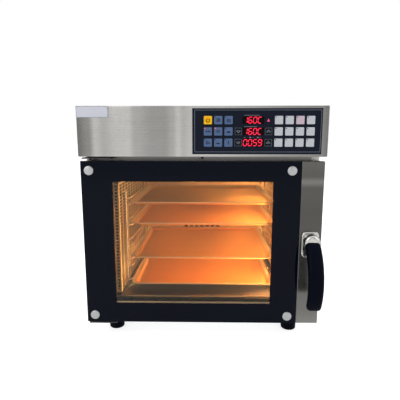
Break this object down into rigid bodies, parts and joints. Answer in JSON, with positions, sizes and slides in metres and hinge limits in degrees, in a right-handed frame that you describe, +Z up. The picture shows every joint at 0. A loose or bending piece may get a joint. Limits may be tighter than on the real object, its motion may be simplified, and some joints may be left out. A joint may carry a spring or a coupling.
{
  "type": "countertop convection oven",
  "caption": "Box-shaped countertop convection oven with a side-hinged glazed door, bowed turning handle, keypad above the door, wire tray racks, trays, rear fan and ring heater.",
  "frame": {"origin": "centre of the bounding box, at the height the feet stand on", "axes": "+X to the oven's right as seen from the front, +Y from the door to the rear, +Z up"},
  "size_m": [0.6, 0.719, 0.6],
  "materials": {
    "satin_steel": "satin stainless sheet, fine horizontal grain",
    "galvanised": "galvanised sheet",
    "polished_steel": "bright stainless sheet",
    "chromed": "polished chrome plate",
    "bare_aluminium": "plain rolled aluminium",
    "dark_steel": "blackened steel",
    "bronze": "sintered bronze",
    "tinted_glass": "toughened pane with a black printed border",
    "clear_glass": "clear toughened pane",
    "lamp_glass": "heat-proof lens, lit",
    "grip_plastic": "black moulded thermoset, fine satin",
    "membrane": "black printed film with slate, grey and yellow key pads",
    "display": "dark red windows with lit figures",
    "circuit_board": "green laminate",
    "rubber": "moulded black rubber",
    "silicone": "dark silicone",
    "mineral_wool": "pressed mineral wool",
    "nylon": "black nylon"
  },
  "bodies": {
    "cabinet": {"side_panel_left": "satin_steel", "side_panel_right": "satin_steel", "top_cover": "satin_steel", "base_pan": "galvanised", "rear_panel": "satin_steel", "front_frame": "satin_steel", "header_housing": "satin_steel", "badge_plate": "bare_aluminium", "control_membrane": "membrane", "display_module": "display", "control_board": "circuit_board", "chamber_liner": "polished_steel", "mineral_wool_jacket": "mineral_wool", "air_panel_left": "polished_steel", "air_panel_right": "polished_steel", "fan_baffle": "polished_steel", "tray_rack_left": "chromed", "tray_rack_right": "chromed", "ring_heater": "dark_steel", "fan_motor": "dark_steel", "motor_bracket": "galvanised", "lamp_cover": "lamp_glass", "lamp_cup": "galvanised", "lamp_bulb": "lamp_glass", "door_gasket": "silicone", "upper_hinge": "dark_steel", "lower_hinge": "dark_steel", "latch_strike": "polished_steel", "door_sensor": "nylon", "foot_front_left": "rubber", "foot_front_right": "rubber", "foot_rear_left": "rubber", "foot_rear_right": "rubber", "cable_gland": "nylon", "steam_outlet": "polished_steel", "temperature_probe": "polished_steel"},
    "door": {"outer_glass": "tinted_glass", "door_pan": "satin_steel", "inner_glass": "clear_glass", "inner_glass_frame": "satin_steel", "handle_stile": "satin_steel", "handle_rosette": "chromed", "door_magnet": "dark_steel", "upper_bush": "bronze", "lower_bush": "bronze", "cap_lower_left": "chromed", "cap_upper_left": "chromed", "cap_lower_right": "chromed", "cap_upper_right": "chromed"},
    "handle": {"handle_hub": "chromed", "handle_grip": "grip_plastic", "handle_spindle": "dark_steel", "latch_hook": "polished_steel"},
    "fan": {"fan_wheel": "bare_aluminium", "fan_shaft": "dark_steel", "fan_nut": "bronze"},
    "top_tray": {"tray_1": "bare_aluminium"},
    "second_tray": {"tray_2": "bare_aluminium"},
    "third_tray": {"tray_3": "bare_aluminium"},
    "bottom_tray": {"tray_4": "bare_aluminium"}
  },
  "joints": [
    {"name": "door_swing", "type": "hinge", "parent": "cabinet", "child": "door", "pos_m": [-0.285, -0.2425, 0.048], "axis": [0, 0, -1], "range_deg": [0, 120]},
    {"name": "handle_turn", "type": "hinge", "parent": "door", "child": "handle", "pos_m": [0.27175, -0.2785, 0.27], "axis": [0, 1, 0], "range_deg": [0, 90]},
    {"name": "fan_spin", "type": "hinge", "parent": "cabinet", "child": "fan", "pos_m": [0, 0.225, 0.2555], "axis": [0, 1, 0], "continuous": true},
    {"name": "tray_1_slide", "type": "slide", "parent": "cabinet", "child": "top_tray", "axis": [0, -1, 0], "range_m": [0, 0.03]},
    {"name": "tray_2_slide", "type": "slide", "parent": "cabinet", "child": "second_tray", "axis": [0, -1, 0], "range_m": [0, 0.03]},
    {"name": "tray_3_slide", "type": "slide", "parent": "cabinet", "child": "third_tray", "axis": [0, -1, 0], "range_m": [0, 0.03]},
    {"name": "tray_4_slide", "type": "slide", "parent": "cabinet", "child": "bottom_tray", "axis": [0, -1, 0], "range_m": [0, 0.03]}
  ]
}
